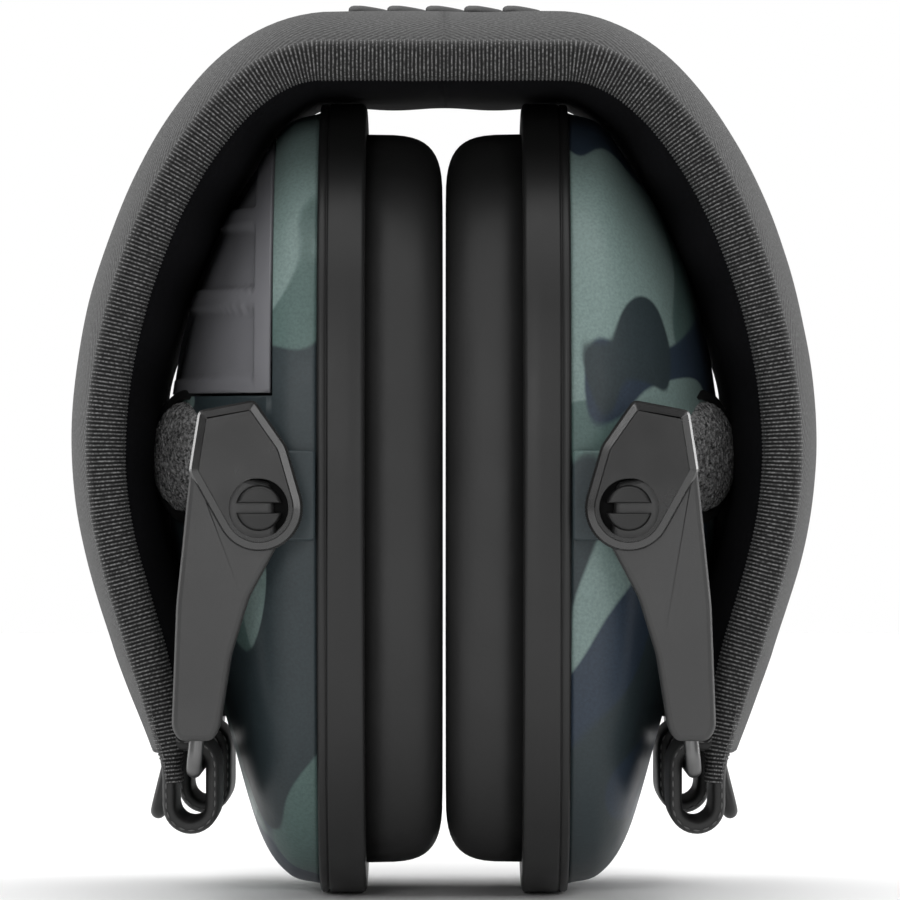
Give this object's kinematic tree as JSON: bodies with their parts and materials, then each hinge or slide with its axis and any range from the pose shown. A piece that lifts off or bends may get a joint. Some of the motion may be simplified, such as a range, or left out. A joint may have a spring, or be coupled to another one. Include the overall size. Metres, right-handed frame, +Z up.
{
  "type": "earmuff hearing protector",
  "caption": "Folding electronic earmuff hearing protector, stored folded: padded headband, wire yokes with sliding arms, two camouflage cups with soft cushions and a volume knob.",
  "frame": {"origin": "on the surface the folded earmuff stands on, under the middle of its box", "axes": "+X to the wearer's right-hand cup, +Y to the rear, +Z up through the crown of the headband"},
  "size_m": [0.1008, 0.089, 0.1205],
  "materials": {
    "pad_fabric": "fine melange weave",
    "edge_ribbon": "ribbed ribbon",
    "patch_rubber": "moulded, satin",
    "strap": "stitched strap",
    "lead": "satin",
    "spring_steel": "brushed",
    "wire_steel": "drawn wire",
    "arm_plastic": "gloss above, fine texture below",
    "pin_plastic": "satin",
    "camo_shell": "two-tone camouflage print",
    "cover_plastic": "satin",
    "plate_plastic": "satin",
    "cushion_skin": "soft leatherette",
    "foam": "open cell foam",
    "mesh": "knitted mesh",
    "speaker_body": "matte",
    "mic_metal": "satin",
    "screw_steel": "zinc plated",
    "cell": "printed sleeve",
    "contact": "nickel plated",
    "board": "solder mask",
    "control_plastic": "matte",
    "socket": "satin"
  },
  "bodies": {
    "headband": {"band_pad_crown": "pad_fabric", "spring_strip_crown": "spring_steel", "edge_binding_crown": "edge_ribbon", "top_patch": "patch_rubber"},
    "band_side_left": {"band_pad_left": "pad_fabric", "spring_strip_left": "spring_steel", "edge_binding_left": "edge_ribbon", "strap_loops_left": "strap", "lead_slack_left": "lead"},
    "yoke_left": {"wire_bail_left": "wire_steel"},
    "arms_left": {"arm_left_front": "arm_plastic", "arm_left_rear": "arm_plastic"},
    "cup_left": {"shell_left": "camo_shell", "ear_plate_left": "plate_plastic", "cushion_plate_left": "plate_plastic", "cushion_left": "cushion_skin", "foam_liner_left": "foam", "mesh_cloth_left": "mesh", "speaker_left": "speaker_body", "windscreen_left": "foam", "microphone_left": "mic_metal", "pivot_pins_left": "pin_plastic", "plate_screws_left": "screw_steel", "battery_cover": "cover_plastic", "battery_tray": "control_plastic", "aaa_cells": "cell", "battery_contacts": "contact"},
    "band_side_right": {"band_pad_right": "pad_fabric", "spring_strip_right": "spring_steel", "edge_binding_right": "edge_ribbon", "strap_loops_right": "strap", "lead_slack_right": "lead"},
    "yoke_right": {"wire_bail_right": "wire_steel"},
    "arms_right": {"arm_right_front": "arm_plastic", "arm_right_rear": "arm_plastic"},
    "cup_right": {"shell_right": "camo_shell", "ear_plate_right": "plate_plastic", "cushion_plate_right": "plate_plastic", "cushion_right": "cushion_skin", "foam_liner_right": "foam", "mesh_cloth_right": "mesh", "speaker_right": "speaker_body", "windscreen_right": "foam", "microphone_right": "mic_metal", "pivot_pins_right": "pin_plastic", "plate_screws_right": "screw_steel", "main_board": "board", "potentiometer": "speaker_body", "audio_jack": "socket"},
    "knob": {"volume_knob": "control_plastic"}
  },
  "joints": [
    {"name": "band_spread_right", "type": "hinge", "parent": "headband", "child": "band_side_right", "pos_m": [0.02, 0, 0.1205], "axis": [0, -1, 0], "range_deg": [0, 56], "stiffness_Nm_per_rad": 0.8, "springref_deg": -5.73},
    {"name": "yoke_fold_right", "type": "hinge", "parent": "band_side_right", "child": "yoke_right", "pos_m": [0.0327, 0, 0.0183], "axis": [0, -1, 0], "range_deg": [0, 94]},
    {"name": "height_slide_right", "type": "slide", "parent": "yoke_right", "child": "arms_right", "axis": [-0.1045, 0, 0.9945], "range_m": [0, 0.02]},
    {"name": "cup_tilt_right", "type": "hinge", "parent": "arms_right", "child": "cup_right", "pos_m": [0.0241, 0, 0.0527], "axis": [0, -1, 0], "range_deg": [-150, 0]},
    {"name": "band_spread_left", "type": "hinge", "parent": "headband", "child": "band_side_left", "pos_m": [-0.02, 0, 0.1205], "axis": [0, 1, 0], "range_deg": [0, 56], "stiffness_Nm_per_rad": 0.8, "springref_deg": -5.73},
    {"name": "yoke_fold_left", "type": "hinge", "parent": "band_side_left", "child": "yoke_left", "pos_m": [-0.0327, 0, 0.0183], "axis": [0, 1, 0], "range_deg": [0, 94]},
    {"name": "height_slide_left", "type": "slide", "parent": "yoke_left", "child": "arms_left", "axis": [0.1045, 0, 0.9945], "range_m": [0, 0.02]},
    {"name": "cup_tilt_left", "type": "hinge", "parent": "arms_left", "child": "cup_left", "pos_m": [-0.0241, 0, 0.0527], "axis": [0, 1, 0], "range_deg": [-150, 0]},
    {"name": "volume_turn", "type": "hinge", "parent": "cup_right", "child": "knob", "pos_m": [0.0226, 0.0364, 0.0265], "axis": [0, 1, 0], "range_deg": [0, 270]}
  ],
  "couplings": [
    {"joint": "band_spread_left", "follows": "band_spread_right", "ratio": 1},
    {"joint": "yoke_fold_right", "follows": "band_spread_right", "ratio": 1.6785},
    {"joint": "height_slide_right", "follows": "band_spread_right", "m_per_rad": 0.02046},
    {"joint": "cup_tilt_right", "follows": "band_spread_right", "ratio": -2.6785},
    {"joint": "yoke_fold_left", "follows": "band_spread_right", "ratio": 1.6785},
    {"joint": "height_slide_left", "follows": "band_spread_right", "m_per_rad": 0.02046},
    {"joint": "cup_tilt_left", "follows": "band_spread_right", "ratio": -2.6785}
  ]
}
